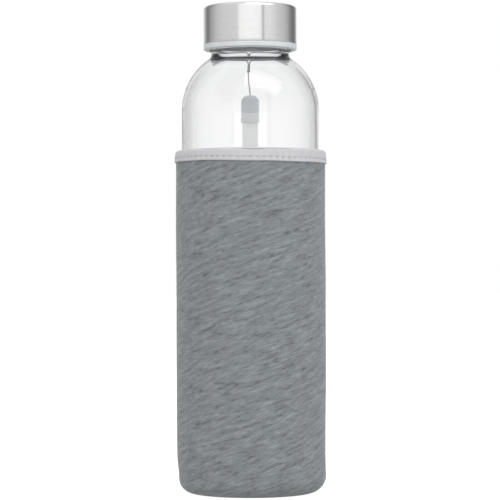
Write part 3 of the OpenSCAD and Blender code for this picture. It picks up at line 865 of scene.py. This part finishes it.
# ------------------------------------------------------------
# The stitches are spun polyester: one row holds the binding, two run up the back seam, one goes round the
# base. Each is a short thread that dips into the cloth at both ends.
# ------------------------------------------------------------
def stitches(name, centre, along, out, length, thickness, dip):
    """Many small threads. Thread k follows centre[k] + s along[k] length / 2 - dip s^2 out[k], s from -1 to
    1, with round sections of the given thickness that narrow at the ends."""
    rings, sides = 9, 6
    s = np.linspace(-1, 1, rings)
    a = 2 * math.pi * np.arange(sides) / sides
    narrow = np.sqrt(np.clip(1 - (0.96 * s) ** 6, 0, 1))
    side = np.cross(along, out)
    spine = (centre[:, None] + s[None, :, None] * along[:, None] * length / 2
             - dip * (s ** 2)[None, :, None] * out[:, None])
    ring = (np.cos(a)[None, None, :, None] * out[:, None, None]
            + np.sin(a)[None, None, :, None] * side[:, None, None])
    points = spine[:, :, None] + 0.5 * thickness * narrow[None, :, None, None] * ring
    first = np.arange(len(centre))[:, None, None] * rings * sides
    i, j = np.meshgrid(np.arange(rings - 1), np.arange(sides), indexing="ij")
    beside = (j + 1) % sides - j
    here = i * sides + j
    quads = np.stack([here, here + beside, here + sides + beside, here + sides], axis=-1)
    quads = (first[..., None] + quads[None]).reshape(-1, 4)
    last = (rings - 1) * sides
    caps = np.concatenate([first[:, 0] + np.arange(sides)[::-1], first[:, 0] + last + np.arange(sides)])
    mesh = bpy.data.meshes.new(name)
    mesh.from_pydata(points.reshape(-1, 3).tolist(), [], quads.tolist() + caps.tolist())
    return smooth_object(name, mesh)


def round_the_axis(angle, radius, height):
    """Points at a radius and height, and the unit vectors out from the axis and round it, for each angle."""
    out = np.stack([np.cos(angle), np.sin(angle), np.zeros_like(angle)], axis=1)
    onward = np.stack([-np.sin(angle), np.cos(angle), np.zeros_like(angle)], axis=1)
    return out * radius + np.array([0, 0, 1]) * np.reshape(height, (-1, 1)), out, onward


def spun_thread(name, dark, light):
    """Matt sewing thread with its fibres' slant as fine stripes."""
    made = material(name, {"Base Color": (*light, 1), "Roughness": 0.8, "Sheen Weight": 0.2})
    tree = made.node_tree
    ply = node(tree, "TexWave", {"Vector": on_object(tree), "Scale": 1400.0, "Distortion": 1.0},
               bands_direction="DIAGONAL").outputs["Color"]
    link_to_shader(made, base_color=ramp(tree, ply, [(0.2, dark), (0.8, light)]),
                   normal=bump(tree, ply, 0.4, 0.04 * mm))
    return made


binding_angle = math.pi / 2 + 2 * math.pi * np.arange(stitch_count) / stitch_count
stitch_line = stitch_height + tape_sag(binding_angle)
place, out, onward = round_the_axis(binding_angle, tape_radius - 0.1 * mm, stitch_line)
binding_row = stitches("binding_row", place, onward, out, 1.7 * mm, 0.5 * mm, 0.3 * mm)
pale_thread = spun_thread("pale_thread", (0.34, 0.33, 0.36), (0.5, 0.48, 0.52))
fit(binding_row, "sleeve", "binding_thread", pale_thread, "binding_stitches")

seam_low, seam_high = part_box("back_seam_stitches")
seam_count = 40
seam_heights = np.linspace(seam_low.z + 1.1 * mm, seam_high.z - 1.1 * mm, seam_count)
seam_angle = math.pi / 2 + np.repeat([-1, 1], seam_count) * math.radians(2.6)
place, out, onward = round_the_axis(seam_angle, sleeve_radius - 0.08 * mm, np.tile(seam_heights, 2))
upward = np.broadcast_to((0.0, 0.0, 1.0), out.shape)
dark_thread = spun_thread("grey_thread", (0.16, 0.17, 0.18), (0.26, 0.27, 0.28))
seam_rows = stitches("back_seam_rows", place, upward, out, 2.3 * mm, 0.45 * mm, 0.3 * mm)
fit(seam_rows, "sleeve", "seam_thread", dark_thread, "back_seam_stitches")

base_count = 48
base_angle = 2 * math.pi * np.arange(base_count) / base_count
place, out, onward = round_the_axis(base_angle, groove, panel_low.z + 0.3 * mm)
downward = np.broadcast_to((0.0, 0.0, -1.0), out.shape)
base_row = stitches("base_seam_row", place, onward, downward, 2.1 * mm, 0.42 * mm, 0.2 * mm)
fit(base_row, "sleeve", "seam_thread", dark_thread, "base_seam_stitches")


# ------------------------------------------------------------
# Inside the sleeve is the laminate's foam core, and its lining of plain dark knit. Both are pressed out in
# a channel at the back, where the ribbon's tail lies.
# ------------------------------------------------------------
foam_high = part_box("sleeve_foam")[1]
lining_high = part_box("sleeve_lining")[1]
foam_radius = foam_high.x
foam_bore = bore_radius + lining_thickness
channel_low = 134 * mm
gap = 0.02 * mm


def wall_profile(outer, inner, top):
    """A layer of the sleeve's wall between two radii, with its rounded lower corner."""
    return np.concatenate([
        arc(corner_centre, outer - base_radius, -90, 0, 12)[:-1],
        line((outer, sleeve_corner), (outer, top), 60),
        line((outer, top), (inner, top), 2),
        line((inner, top), (inner, sleeve_corner), 60),
        arc(corner_centre, inner - base_radius, 0, -90, 12),
    ])


def channel_push(angle, height):
    """How far the ribbon's tail presses the wall out: level across the ribbon, with soft sides and foot."""
    across = smoothstep((5.4 * mm - np.abs(from_back(angle)) * bore_radius) / (1.2 * mm))
    return 0.7 * mm * across * smoothstep((height - channel_low) / (1.5 * mm))


def foam_push(angle, radius, height):
    """The inner face follows the channel and the outer face follows the jersey, so the foam is thinner
    behind the ribbon and along the seam."""
    outside = smoothstep((radius - foam_bore - 0.2 * mm) / (1.0 * mm))
    return (1 - outside) * channel_push(angle, height) + outside * cloth_push(angle, radius, height)


def lining_push(angle, radius, height):
    """The lining follows the channel on both faces, with a slight unevenness of its knit."""
    return channel_push(angle, height) + 0.02 * mm * np.sin(11 * angle + 90 * height)


foam_profile = wall_profile(foam_radius - gap, foam_bore + gap, foam_high.z)
foam_wall = turned("foam_wall", foam_profile, 360, foam_push, closed_rows=True)
lining_profile = wall_profile(foam_bore - gap, bore_radius, lining_high.z)
lining_wall = turned("lining_knit", lining_profile, 360, lining_push, closed_rows=True)
foam = material("foam_rubber", {"Base Color": (0.03, 0.03, 0.03, 1), "Roughness": 0.85})
foam_tree = foam.node_tree
cells = node(foam_tree, "TexVoronoi", {"Vector": on_object(foam_tree), "Scale": 2500.0}).outputs["Distance"]
foam_tone = ramp(foam_tree, cells, [(0.1, (0.02, 0.02, 0.02)), (0.7, (0.05, 0.05, 0.05))])
link_to_shader(foam, base_color=foam_tone, normal=bump(foam_tree, cells, 0.6, 0.1 * mm))
lining = material("plain_dark_knit", {"Base Color": (0.06, 0.06, 0.065, 1), "Roughness": 0.9,
                                      "Sheen Weight": 0.3})
lining_tree = lining.node_tree
loops = node(lining_tree, "TexWave", {"Vector": on_object(lining_tree), "Scale": 500.0, "Distortion": 1.0},
             bands_direction="Z").outputs["Color"]
lining_tone = ramp(lining_tree, loops, [(0.2, (0.04, 0.04, 0.045)), (0.8, (0.085, 0.085, 0.09))])
link_to_shader(lining, base_color=lining_tone, normal=bump(lining_tree, loops, 0.5, 0.1 * mm))
fit(foam_wall, "sleeve", "foam_core", foam, "sleeve_foam")
fit(lining_wall, "sleeve", "lining_knit", lining, "sleeve_lining")
